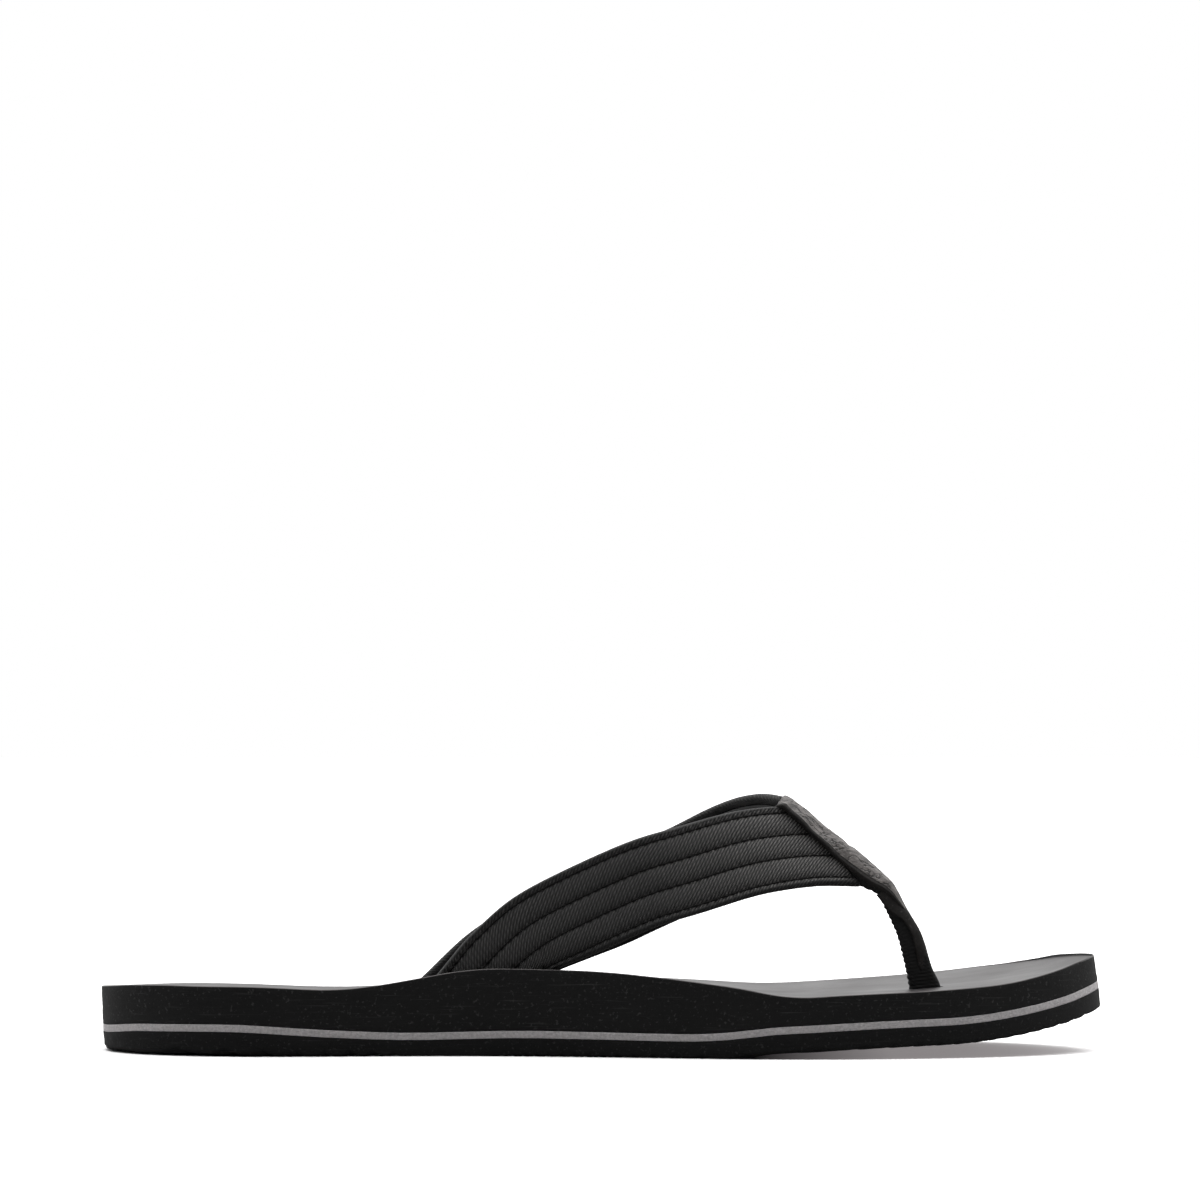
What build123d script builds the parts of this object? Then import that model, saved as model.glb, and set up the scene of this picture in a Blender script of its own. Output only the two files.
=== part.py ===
from build123d import *
import os
from math import cos, radians, sin

os.makedirs("parts", exist_ok=True)

# Left flip flop, mm. X runs from heel to toe, Y to the outer (lateral) side, Z up from the ground.
# Stations along the sole are given as distances from the back of the heel and moved by at().

# ---- driving dimensions ----
LENGTH = 290.0
OUTSOLE = 5.5            # black layer on the ground
STRIPE = 2.1             # pale layer in the middle
GLUE = 0.06              # gap left between bonded pieces
DISH = 1.0               # hollow of the footbed between its edges
DISH_START = 25.0        # the hollow reaches its full depth this far from the heel

RIB_DEPTH = 0.9
GROOVE_SHARE = 0.3       # width of a groove against the pitch of its rings
HEEL_RINGS = (28.0, 5.0, 14)  # centre from the heel, pitch, number of rings
BALL_RINGS = (200.0, 5.7, 15)
PATCH_FRAME = 1.5        # width of the groove round the waist patch
WAIST_PAD = (140.0, 62.0, 24.0)  # centre from the heel, length, width of the smooth patch

FLEX_AT = 196.0          # the sole bends here
SLIT = 0.12              # cut between the rear and front halves of each layer

STRAP_WIDTH = 26.0
LINING = (-2.0, -1.2)    # layers of an arm, measured outwards from its middle surface
PADDING = (-1.15, 0.85)
SHELL = (0.9, 1.9)
THREAD = (2.1, 2.5)
THREAD_WIDTH = 0.8
ROW_PITCH = 7.1
STRAP_PIVOT = (110.0, 22.0)
STRAP_SWEEP = 11.5       # degrees an arm is cut back behind the pivot, so that it can tip
ROOT_GAP = 0.5           # between a strap arm and the footbed
ANCHORS = [(115.0, -29.0), (113.0, 33.0)]  # distance from heel and y of the two strap slots

TAIL = (34.0, 4.6)       # strap tail in its slot: along X, across Y
TAB = (44.0, 13.0, 1.8)  # glued foot of the tail
TAB_SHIFT = 4.0          # the tab is folded inboard
TAB_BOTTOM = 7.75
FIT_GAP = 0.15
PLUG_INSET = 0.3         # the plug stands this far inside the tread

POST_Y = -18.0
POST_THICK = 4.6
FACING = 1.7             # strip on the front of the post
FACING_SPAN = (21.0, 46.0)
POST_ROOT = (239.8, 17.0)
POST_ROOT_RADIUS = 4.3
POST_TOP = (227.2, 45.6)
POST_TOP_RADIUS = 3.2
SOCKET_GAP = 0.6
DISC_RADIUS = 12.0
DISC = (5.2, 6.9)        # bottom and top of the anchor disc

COVER_THICK = 1.6
COVER_GAP = 0.3
POST_CLEARANCE = 1.2     # kept free round the top of the post, which tips inside the V
WEBBING_END = (4.0, 7.0)  # thickness and depth of the webbing sewn under the cover

# ---- shape of the sole, (distance from heel, value) ----
MEDIAL_EDGE = [(10, -23), (32, -35), (70, -35.5), (110, -33.5), (150, -40), (195, -49),
               (235, -46.5), (265, -36), (283, -22)]
LATERAL_EDGE = [(10, 23), (32, 35), (70, 37), (110, 39.5), (155, 45), (200, 49.2),
                (240, 45.5), (268, 33), (284, 15)]
TOE_TIP_Y = -7.0

HEEL_BOTTOM = [(0, 0.1), (8, 0.3), (30, 0.35), (52, 0)]
TOE_BOTTOM = [(178, 0), (190, 0.9), (202, 1.7), (215, 2.5), (236, 3.4), (250, 4.1),
              (261, 5.3), (272, 7.2), (280, 9.0), (290, 12.6)]
# Upper face of the outsole against its nominal height: thick under the heel, thin at the waist.
JOINT = [(0, -0.1), (8, 0.6), (20, 1.05), (35, 1.15), (48, 0.85), (60, 0.3), (73, -0.35), (88, -0.9),
         (103, -0.75), (118, -0.35), (140, -0.45), (160, -0.65), (176, -0.5), (186, 0.4), (194, 1.35),
         (202, 1.85), (215, 2.6), (236, 3.55), (250, 4.2), (261, 5.5), (272, 7.5), (280, 9.4), (290, 12.7)]
MEDIAL_TOP = [(0, 19.9), (30, 20.3), (49, 20.0), (69, 19.3), (85, 21.1), (104, 24.3),
              (118, 25.3), (145, 24.5), (168, 22.4), (183, 20.4), (194, 18.4), (202, 17.6),
              (215, 18.3), (236, 19.2), (250, 20.0), (261, 20.9), (272, 22.9), (282, 25.6),
              (290, 28.7)]
LATERAL_TOP = [(0, 18.0), (30, 17.7), (69, 16.5), (100, 18.2), (125, 19.6), (150, 19.2),
               (168, 18.4), (194, 17.0), (215, 18.0), (236, 19.7), (257, 22.2), (272, 24.6),
               (290, 28.9)]

# ---- middle line of each strap arm: distance from heel, y, z, lean of the band in degrees ----
MEDIAL_ARM = [(105, -27.6, 10.7, 3), (110.5, -27.9, 17.7, 3), (117, -28.8, 25.6, 5), (126, -30.6, 33.8, 8),
              (137, -31.8, 40.0, 11), (156, -31.3, 48.6, 13), (170, -28.4, 52.9, 16),
              (188, -22.5, 57.8, 23), (204, -16.0, 59.4, 32), (219, -10, 58.6, 38)]
LATERAL_ARM = [(102, 31.2, 11, 4), (113, 32.2, 21.5, 5), (122, 33.3, 27.5, 7), (135.5, 34.6, 34.6, 9),
               (147, 34, 40.4, 11), (158, 31, 45.9, 14), (171.5, 23.8, 52.3, 18), (184, 14, 58.8, 23),
               (193, 4.8, 61.9, 29), (200.5, -3.2, 61.9, 34), (209, -10, 60.8, 40), (218, -17.5, 59, 42),
               (227, -25, 56.5, 44)]

# ---- ridge of the cover over the point of the V: distance from heel, y, z, half width ----
RIDGE = [(198, -8.6, 73.8, 9.5), (205, -10.8, 69.6, 9.5), (213, -13.4, 63.6, 8.0),
         (220, -15.7, 58.3, 6.0), (227, -18, 52.6, 4.4)]
COVER_RADIUS = 17.0

# ---- outline of the toe post seen from the side ----
POST_FRONT = [(231.2, 47.4), (235.4, 39.9), (239.6, 31.3), (241.4, 25.1), (243.6, 20.3)]
POST_REAR = [(225.6, 45.0), (229.2, 39.4), (232.6, 30.3), (233.9, 24.6), (235.0, 19.8)]


def at(distance):
    """X of a station given by its distance from the back of the heel."""
    return distance - LENGTH / 2


def through(knots):
    """Smooth function through (distance from heel, value) knots, level beyond both ends."""
    last = len(knots) - 1

    def slope(i):
        before, after = knots[max(i - 1, 0)], knots[min(i + 1, last)]
        return (after[1] - before[1]) / (after[0] - before[0])

    def value(x):
        if x <= knots[0][0]:
            return knots[0][1]
        if x >= knots[last][0]:
            return knots[last][1]
        i = max(k for k in range(last) if knots[k][0] <= x)
        step = knots[i + 1][0] - knots[i][0]
        t = (x - knots[i][0]) / step
        start, end = knots[i][1], knots[i + 1][1]
        return (start * (2 * t**3 - 3 * t**2 + 1) + end * (3 * t**2 - 2 * t**3)
                + step * (slope(i) * (t**3 - 2 * t**2 + t) + slope(i + 1) * (t**3 - t**2)))

    return value


medial_edge = through(MEDIAL_EDGE)
lateral_edge = through(LATERAL_EDGE)
medial_top = through(MEDIAL_TOP)
lateral_top = through(LATERAL_TOP)


def top_height(x, y):
    """Upper face of the footbed, raised along the inner arch and slightly dished."""
    inside, outside = medial_edge(x), lateral_edge(x)
    across = min(max((outside - y) / (outside - inside), 0), 1)
    rise = (medial_top(x) - lateral_top(x)) * across**1.6
    hollow = DISH * min(max(x / DISH_START, 0), 1)
    return lateral_top(x) + rise - hollow * 4 * across * (1 - across)


def everything_below(height):
    """Solid block whose upper face follows height(x, y)."""
    margin, columns, rows = 6.0, 41, 13
    stations = [-margin + i * (LENGTH + 2 * margin) / (columns - 1) for i in range(columns)]
    widths = [-57 + j * 114 / (rows - 1) for j in range(rows)]
    grid = [[(at(x), y, height(x, y)) for y in widths] for x in stations]
    face = Face.make_surface_from_array_of_points(grid)
    return extrude(face, 40, dir=(0, 0, -1))


def sole_outline():
    points = [(0, 0)] + MEDIAL_EDGE + [(LENGTH, TOE_TIP_Y)] + LATERAL_EDGE[::-1]
    edge = Spline(*[(at(x), y) for x, y in points], periodic=True)
    return extrude(Plane.XY.offset(-5) * make_face(edge), 45)


def lifted(points, rise):
    return [(at(x), z + rise) for x, z in points]


def slope_of(points):
    """Direction of the last stretch of a line of points."""
    return (points[-1][0] - points[-2][0], points[-1][1] - points[-2][1])


def run_out(points):
    """Straight ends that carry a line of points past the heel and the toe."""
    start, (across, up) = points[0], slope_of(points)
    beyond = (points[-1][0] + across, points[-1][1] + up)
    return Line((start[0] - 10, start[1]), start), Line(points[-1], beyond)


def underside(rise):
    """Underside of the sole from the side, moved up: heel curve, flat tread, toe spring."""
    heel, toe = lifted(HEEL_BOTTOM, rise), lifted(TOE_BOTTOM, rise)
    before, after = run_out(heel)[0], run_out(toe)[1]
    return [before, Spline(*heel, tangents=[(1, 0), (1, 0)]), Line(heel[-1], toe[0]),
            Spline(*toe, tangents=[(1, 0), slope_of(toe)]), after]


def joint(rise):
    """Wavy line between two layers from the side, at a nominal height."""
    points = lifted(JOINT, rise)
    before, after = run_out(points)
    return [before, Spline(*points, tangents=[(1, 0), slope_of(points)]), after]


def between(low, high):
    """Block between two lines seen from the side, wider than the sole."""
    ends = [Line(low[0] @ 0, high[0] @ 0), Line(low[-1] @ 1, high[-1] @ 1)]
    return extrude(Plane.XZ * make_face(low + high + ends), 80, both=True)


def ring(centre, radius, width):
    annulus = Circle(radius + width / 2) - Circle(radius - width / 2)
    return Pos(at(centre), 0, -2) * extrude(annulus, 20)


def tread_grooves():
    """Ripples around the heel and the ball of the foot, and a frame round the waist patch."""
    centre, length, width = WAIST_PAD
    patch = SlotOverall(length, width)
    place = Pos(at(centre), 0, -2)
    rings = [ring(middle, pitch * (i + 0.5), pitch * GROOVE_SHARE)
             for middle, pitch, count in (HEEL_RINGS, BALL_RINGS) for i in range(count)]
    cutter = Part(children=rings) - place * extrude(offset(patch, PATCH_FRAME / 2), 25)
    cutter = cutter + place * extrude(offset(patch, PATCH_FRAME) - patch, 20)
    return cutter & between(underside(-1), underside(RIB_DEPTH))


def halves(solid):
    """Cut one sole layer at the flex line."""
    far = 400
    rear = solid & Pos(at(FLEX_AT) - SLIT / 2 - far / 2, 0, 0) * Box(far, far, far)
    front = solid & Pos(at(FLEX_AT) + SLIT / 2 + far / 2, 0, 0) * Box(far, far, far)
    return rear, front


def stations(knots, count):
    """Evenly spaced points and leans along the middle line of a strap arm."""
    curves = [through([(i, knot[k]) for i, knot in enumerate(knots)]) for k in range(4)]
    last = len(knots) - 1
    steps = [last * i / (count - 1) for i in range(count)]
    return [(Vector(at(curves[0](s)), curves[1](s), curves[2](s)), curves[3](s)) for s in steps]


def band(knots, offset_range, across_range):
    """Lofted strip of a strap arm between two offsets and two widths from its middle line."""
    points = stations(knots, 14)
    inward = -1 if knots[0][1] > 0 else 1
    sections = []
    for i, (point, lean) in enumerate(points):
        ahead = points[min(i + 1, len(points) - 1)][0]
        behind = points[max(i - 1, 0)][0]
        along = (ahead - behind).normalized()
        upright = Vector(0, inward * sin(radians(lean)), cos(radians(lean)))
        across = (upright - along * upright.dot(along)).normalized()
        outward = along.cross(across) * -inward
        corners = [point + outward * offset_range[a] + across * across_range[b]
                   for a, b in ((0, 0), (1, 0), (1, 1), (0, 1))]
        sections.append(make_face(Polyline(*corners, close=True)))
    return loft(sections)


def ridge_section(i, radius_gap, thickness):
    """Arched section of the cover, square to its ridge."""
    x, y, z, half = RIDGE[i]
    before, after = RIDGE[max(i - 1, 0)], RIDGE[min(i + 1, len(RIDGE) - 1)]
    along = (Vector(*after[:3]) - Vector(*before[:3])).normalized()
    side = Vector(0, 0, 1).cross(along).normalized()
    plane = Plane(origin=(at(x), y, z), x_dir=side, z_dir=along)
    outer = COVER_RADIUS - radius_gap
    inner = outer - thickness
    reach = half / COVER_RADIUS

    def arc(radius):
        ends = [(radius * a, -COVER_RADIUS + radius * (1 - a * a) ** 0.5) for a in (-reach, reach)]
        return ThreePointArc(ends[0], (0, radius - COVER_RADIUS), ends[1])

    low, high = arc(inner), arc(outer)
    sides = [Line(low @ 0, high @ 0), Line(low @ 1, high @ 1)]
    return plane * make_face([low, high] + sides)


def cover(radius_gap, thickness):
    return loft([ridge_section(i, radius_gap, thickness) for i in range(len(RIDGE))])


def ridge_slab(half_thickness, top_gap, depth, stations_used, overhang):
    """Upright slab in the plane of the ridge, from top_gap below it down by depth."""
    start, end = RIDGE[0], RIDGE[-1]
    run = Vector(at(end[0]) - at(start[0]), end[1] - start[1], 0)
    stretch = run.length / (end[0] - start[0])
    plane = Plane(origin=(at(start[0]), start[1], 0), x_dir=run, z_dir=run.cross(Vector(0, 0, 1)))
    top = [((x - start[0]) * stretch, z - top_gap) for x, y, z, half in RIDGE[:stations_used]]
    top[0] = (top[0][0] - overhang, top[0][1])
    top[-1] = (top[-1][0] + overhang, top[-1][1])
    bottom = [(u, v - depth) for u, v in reversed(top)]
    return extrude(plane * make_face(Polyline(*top, *bottom, close=True)), half_thickness, both=True)


def largest(shape):
    return max(shape.solids(), key=lambda solid: solid.volume)


def post_room():
    """Space round the top of the toe post that the strap arms keep out of."""
    room = Cylinder(POST_TOP_RADIUS + POST_CLEARANCE, POST_THICK + 2 * POST_CLEARANCE, rotation=(90, 0, 0))
    return Pos(at(POST_TOP[0]), POST_Y, POST_TOP[1]) * room


def strap_arm(knots, root_height):
    """Shell, padding, lining and thread of one arm, ending at the footbed and under the cover."""
    sole = everything_below(lambda x, y: top_height(x, y) + ROOT_GAP)
    behind = Pos(at(STRAP_PIVOT[0]), 0, root_height) * Rot(0, STRAP_SWEEP, 0) * Pos(-50, 0, -20)
    keep_out = [sole, behind * Box(100, 120, 40), cover(COVER_THICK + COVER_GAP, -30),
                ridge_slab(WEBBING_END[0] / 2 + COVER_GAP, -40, 90, len(RIDGE), 25), post_room()]
    half = STRAP_WIDTH / 2
    rows = [ROW_PITCH * (k - 1.5) for k in range(4)]

    def trimmed(layer_range, across_range):
        return largest(band(knots, layer_range, across_range) - keep_out)

    return {
        "shell": trimmed(SHELL, (-half, half)),
        "padding": trimmed(PADDING, (-half + 1.2, half - 1.2)),
        "lining": trimmed(LINING, (-half, half)),
        "stitching": Part(children=[trimmed(THREAD, (row - THREAD_WIDTH / 2, row + THREAD_WIDTH / 2))
                                    for row in rows]),
    }


def box_at(centre, size, bottom, top):
    """Box centred at a station and a Y, between two heights."""
    return Pos(at(centre[0]), centre[1], (bottom + top) / 2) * Box(size[0], size[1], top - bottom)


def strap_anchor(centre, gap):
    """Tail of a strap in its slot, with the tab glued under the footbed."""
    tail = box_at(centre, (TAIL[0] + 2 * gap, TAIL[1] + 2 * gap), TAB_BOTTOM, 40)
    x, y = centre
    inboard = (x, y - TAB_SHIFT if y > 0 else y + TAB_SHIFT)
    tab = box_at(inboard, (TAB[0] + 2 * gap, TAB[1] + 2 * gap), TAB_BOTTOM, TAB_BOTTOM + TAB[2] + gap)
    return tail + tab


def post_outline():
    """Side outline of the toe post, rounded at both ends, drawn with X and Z as its axes."""
    front = Spline(*[(at(x), z) for x, z in POST_FRONT])
    rear = Spline(*[(at(x), z) for x, z in POST_REAR])
    shank = make_face([front, rear, Line(front @ 0, rear @ 0), Line(front @ 1, rear @ 1)])
    top = Pos(at(POST_TOP[0]), POST_TOP[1]) * Circle(POST_TOP_RADIUS)
    root = Pos(at(POST_ROOT[0]), POST_ROOT[1]) * Circle(POST_ROOT_RADIUS)
    return shank + top + root


def slab_of(sketch, thickness):
    """Solid of an X-Z outline, centred on the toe post's middle plane."""
    return Pos(0, POST_Y, 0) * extrude(Plane.XZ * sketch, thickness / 2, both=True)


def toe_post():
    """Webbing of the post and the smoother strip down its front."""
    outline = post_outline()
    low, high = FACING_SPAN
    strip = Pos(at(POST_ROOT[0]), (low + high) / 2) * Rectangle(60, high - low)
    wide_strip = Pos(at(POST_ROOT[0]), (low + high) / 2) * Rectangle(60, high - low + 2 * GLUE)
    facing = (outline - Pos(-FACING, 0) * outline) & strip
    webbing = outline - ((outline - Pos(-FACING - GLUE, 0) * outline) & wide_strip)
    return slab_of(webbing, POST_THICK), slab_of(facing, POST_THICK)


def post_hole(gap):
    """Slot through the sole for the post, long enough in front for the post to tip."""
    back, front = POST_ROOT_RADIUS + 1.1, POST_ROOT_RADIUS + 2.9
    length, width = back + front + 2 * gap, POST_THICK + 2.4 + 2 * gap
    middle = at(POST_ROOT[0]) + (front - back) / 2
    return Pos(middle, POST_Y, DISC[0]) * extrude(SlotOverall(length, width), 40)


def disc(radius, bottom, top):
    return Pos(at(POST_ROOT[0]), POST_Y, bottom) * extrude(Circle(radius), top - bottom)


def post_anchor():
    """Disc under the post with the socket its rounded root turns in."""
    root_x, root_z = POST_ROOT
    stem = post_hole(0) & disc(4 * POST_ROOT_RADIUS, 0, root_z - 1)
    trough = slab_of(Pos(at(root_x), root_z) * Circle(POST_ROOT_RADIUS + SOCKET_GAP), 4 * POST_THICK)
    return disc(DISC_RADIUS, *DISC) + stem - trough


# ---- sole ----
prism = sole_outline()
outsole = prism & between(underside(0), joint(OUTSOLE))
grey_layer = prism & between(joint(OUTSOLE + GLUE), joint(OUTSOLE + STRIPE))
footbed = prism & between(joint(OUTSOLE + STRIPE + GLUE), joint(45)) & everything_below(top_height)

slots = [strap_anchor(centre, FIT_GAP) for centre in ANCHORS]
hole = post_hole(FIT_GAP)
recess = disc(DISC_RADIUS + 0.4, -1, DISC[1] + FIT_GAP)
footbed = footbed - slots - hole
grey_layer = grey_layer - hole
outsole = outsole - hole - recess
grooves = tread_grooves()

parts = {}
for name, solid in (("outsole", outsole), ("grey_layer", grey_layer), ("footbed", footbed)):
    rear, front = halves(solid)
    parts[name + "_rear"] = rear
    parts[name + "_front"] = front
for name in ("outsole_rear", "outsole_front"):
    parts[name] = largest(parts[name] - grooves)

# ---- straps and their roots ----
surface = everything_below(lambda x, y: top_height(x, y) - FIT_GAP)
for side, knots, centre in zip(("medial", "lateral"), (MEDIAL_ARM, LATERAL_ARM), ANCHORS):
    root_height = top_height(STRAP_PIVOT[0], centre[1]) + ROOT_GAP
    for name, solid in strap_arm(knots, root_height).items():
        parts[f"{side}_strap_{name}"] = solid
    parts[f"{side}_strap_anchor"] = strap_anchor(centre, 0) & surface

# ---- point of the V ----
parts["apex_cover"] = cover(0, COVER_THICK)
parts["apex_webbing_end"] = ridge_slab(WEBBING_END[0] / 2, COVER_THICK + COVER_GAP + 0.4,
                                       WEBBING_END[1], len(RIDGE) - 1, 0)

# ---- toe post ----
parts["toe_post_webbing"], parts["toe_post_facing"] = toe_post()
parts["toe_post_anchor"] = post_anchor()
plug = disc(DISC_RADIUS + FIT_GAP, 0, DISC[0] - FIT_GAP)
parts["outsole_plug"] = plug & between(underside(PLUG_INSET), underside(20))

for name, solid in parts.items():
    solid.label = name
    export_step(solid, f"parts/{name}.step")
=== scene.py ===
import math

import bmesh
import bpy
import numpy as np
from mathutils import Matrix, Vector
from mathutils.bvhtree import BVHTree


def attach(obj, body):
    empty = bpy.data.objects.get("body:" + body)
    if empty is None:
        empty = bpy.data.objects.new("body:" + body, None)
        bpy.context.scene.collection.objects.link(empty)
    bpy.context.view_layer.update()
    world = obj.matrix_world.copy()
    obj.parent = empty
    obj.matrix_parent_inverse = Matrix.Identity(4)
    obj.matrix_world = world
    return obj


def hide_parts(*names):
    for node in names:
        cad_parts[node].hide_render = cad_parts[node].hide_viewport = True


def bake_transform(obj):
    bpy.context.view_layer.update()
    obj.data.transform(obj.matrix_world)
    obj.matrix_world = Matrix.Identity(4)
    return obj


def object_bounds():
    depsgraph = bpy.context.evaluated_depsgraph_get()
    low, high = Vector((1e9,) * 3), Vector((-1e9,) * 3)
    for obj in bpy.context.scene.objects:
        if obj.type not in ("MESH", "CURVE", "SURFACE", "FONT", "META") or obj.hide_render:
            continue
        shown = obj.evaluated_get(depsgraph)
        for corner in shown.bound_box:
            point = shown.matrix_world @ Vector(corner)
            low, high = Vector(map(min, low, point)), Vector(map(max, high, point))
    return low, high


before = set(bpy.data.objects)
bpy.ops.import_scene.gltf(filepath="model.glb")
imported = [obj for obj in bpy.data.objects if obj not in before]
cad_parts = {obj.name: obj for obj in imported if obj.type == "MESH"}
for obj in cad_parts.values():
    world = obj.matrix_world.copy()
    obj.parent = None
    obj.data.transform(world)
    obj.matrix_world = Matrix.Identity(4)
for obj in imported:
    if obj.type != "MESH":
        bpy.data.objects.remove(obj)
for leftover in ("Cube", "Light", "Camera"):
    if leftover in bpy.data.objects:
        bpy.data.objects.remove(bpy.data.objects[leftover], do_unlink=True)
cad_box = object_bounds()

# ---- units and places taken from the frame ----
MM = 0.001
HEEL = round(cad_box[0][0], 3)                       # X of the back of the heel
TOE_LENGTH = round((cad_box[1][0] - cad_box[0][0]) / MM)

# ---- driving sizes, mm ----
OUTSOLE = 5.6             # nominal height of the pale layer above the ground
STRIPE = 2.1
HEEL_ROLL = 0.4           # the inner heel stands this much higher, the outer heel this much lower
HEEL_LIFT = 0.35          # the heel's underside stands this far off the ground
WALL_LEAN = 0.45          # how far the foot of the wall lies inside its top
TOE_LEAN = 0.55           # how far the toe's wall leans back, against the rise of the toe
RIB_DEPTH = 0.28          # depth of the tread against the pitch of its rings
HEEL_RINGS = (28, 5.0, 14)  # centre from the heel, pitch, number of rings
BALL_RINGS = (200, 2.85, 31)
RIM_RING = 0.006          # a ring this share of the way in keeps the upper rim crisp
FRAME_DEPTH = 0.9         # groove round the waist patch
WAIST_PATCH = (140, 62, 24)  # centre from the heel, length, width
STRAP_WIDTH = 26.0
HALF = STRAP_WIDTH / 2
HEM = 1.2                 # radius of the rolled edge of an arm
ROW_PITCH = 7.1
ROWS = tuple(ROW_PITCH * (k - 1.5) for k in range(4))  # stitch rows across an arm
STITCH = 2.8
POST_THICK = 4.6

# Middle line of each strap arm: distance from heel, y, z, lean of the band in degrees.
MEDIAL_ARM = [(105, -27.6, 10.7, 3), (110.5, -27.9, 17.7, 3), (117, -28.8, 25.6, 5), (126, -30.6, 33.8, 8),
              (137, -31.8, 40.0, 11), (156, -31.3, 48.6, 13), (170, -28.4, 52.9, 16),
              (188, -22.5, 57.8, 23), (204, -16.0, 59.4, 32), (219, -10, 58.6, 38)]
LATERAL_ARM = [(102, 31.2, 11, 4), (113, 32.2, 21.5, 5), (122, 33.3, 27.5, 7), (135.5, 34.6, 34.6, 9),
               (147, 34, 40.4, 11), (158, 31, 45.9, 14), (171.5, 23.8, 52.3, 18), (184, 14, 58.8, 23),
               (193, 4.8, 61.9, 29), (200.5, -3.2, 61.9, 34), (209, -10, 60.8, 40), (218, -17.5, 59, 42),
               (227, -25, 56.5, 44)]

# Ridge over the point of the V and down the front of the post: distance, y, z, half width, drop of the rim.
RIDGE = [(197.6, -8.6, 73.6, 7.6, 3.2), (200.5, -9.4, 73.2, 8.4, 4.0), (205, -10.8, 70.6, 8.6, 4.8),
         (210, -12.4, 66.5, 8.0, 5.0), (216, -14.4, 61.6, 6.8, 5.0), (222, -16.4, 56.8, 5.2, 4.6),
         (227, -17.7, 52.6, 3.9, 4.2), (230.2, -18, 49.0, 3.3, 3.8)]
FACING = [(225.6, 51.7), (229.2, 48.4), (232.0, 44.3), (234.5, 39.9), (237.1, 35.5), (238.7, 31.3),
          (240.5, 25.1), (242.6, 20.3), (243.6, 16.5)]
POST_BACK = [(223.8, 48.5), (226.6, 43.0), (228.4, 39.4), (230.5, 34.7), (231.8, 30.3),
             (233.1, 24.6), (234.1, 20.4), (234.8, 16.0)]
FACING_DEPTH = 2.9        # how far the front strip wraps back along the post

rng = np.random.default_rng(7)


# ---------------------------------------------------------------- numbers and meshes

def at(distance):
    """X in metres of a station given in mm from the back of the heel."""
    return HEEL + distance * MM


def smooth(t):
    t = np.clip(t, 0, 1)
    return t * t * (3 - 2 * t)


def spline(knots, count):
    """Evenly spaced points on a smooth curve through knots, as an array of count rows."""
    k = np.array(knots, float)
    k = np.vstack([2 * k[0] - k[1], k, 2 * k[-1] - k[-2]])
    fine = []
    for a, b, c, d in zip(k[:-3], k[1:-2], k[2:-1], k[3:]):
        t = np.linspace(0, 1, 60, endpoint=False)[:, None]
        fine.append(0.5 * (2 * b + (c - a) * t + (2 * a - 5 * b + 4 * c - d) * t**2
                           + (3 * b - a - 3 * c + d) * t**3))
    fine = np.vstack(fine + [k[-2][None]])
    reach = min(3, fine.shape[1])
    step = np.linalg.norm(np.diff(fine[:, :reach], axis=0), axis=1)
    length = np.concatenate([[0], np.cumsum(step)])
    s = np.linspace(0, length[-1], count)
    return np.column_stack([np.interp(s, length, column) for column in fine.T]), length[-1]


def unit(v):
    return v / np.linalg.norm(v, axis=-1, keepdims=True)


def grid_faces(rows, columns, wrap):
    """Quads of a rows x columns grid of vertices, closed across the columns when wrap is true."""
    r, c = np.meshgrid(np.arange(rows - 1), np.arange(columns if wrap else columns - 1), indexing="ij")
    nxt = (c + 1) % columns
    quads = np.stack([r * columns + c, r * columns + nxt, (r + 1) * columns + nxt, (r + 1) * columns + c], -1)
    return quads.reshape(-1, 4)


def make_object(name, verts, faces, material, uv=None, merge=True):
    """Mesh object from metre vertices, smooth shaded, with one material and optional per-vertex UVs."""
    mesh = bpy.data.meshes.new(name)
    mesh.from_pydata([tuple(v) for v in np.asarray(verts)], [], [tuple(f) for f in faces])
    if uv is not None:
        layer = mesh.uv_layers.new(name="UVMap")
        index = np.zeros(len(mesh.loops), int)
        mesh.loops.foreach_get("vertex_index", index)
        layer.data.foreach_set("uv", np.asarray(uv, float)[index].astype(np.float32).ravel())
    obj = bpy.data.objects.new(name, mesh)
    bpy.context.scene.collection.objects.link(obj)
    mesh.materials.append(material)
    bm = bmesh.new()
    bm.from_mesh(mesh)
    if merge:
        bmesh.ops.remove_doubles(bm, verts=bm.verts, dist=2e-6)
    bmesh.ops.recalc_face_normals(bm, faces=bm.faces)
    bm.to_mesh(mesh)
    bm.free()
    mesh.polygons.foreach_set("use_smooth", [True] * len(mesh.polygons))
    return obj


def close_tube(rows, columns):
    """Faces of a closed tube of rings: the sides and one polygon at each end."""
    faces = [tuple(f) for f in grid_faces(rows, columns, True)]
    return faces + [tuple(range(columns))[::-1], tuple((rows - 1) * columns + i for i in range(columns))]


def value_noise(x, y, cell):
    """Smooth repeatable noise from -1 to 1 over a plane, with lumps about one cell wide."""
    gx, gy = np.asarray(x) / cell, np.asarray(y) / cell
    ix, iy = np.floor(gx), np.floor(gy)

    def corner(a, b):
        h = np.sin(a * 127.1 + b * 311.7) * 43758.5453
        return 2 * (h - np.floor(h)) - 1

    fx, fy = smooth(gx - ix), smooth(gy - iy)
    low = corner(ix, iy) * (1 - fx) + corner(ix + 1, iy) * fx
    high = corner(ix, iy + 1) * (1 - fx) + corner(ix + 1, iy + 1) * fx
    return low * (1 - fy) + high * fy


# ---------------------------------------------------------------- materials

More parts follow.
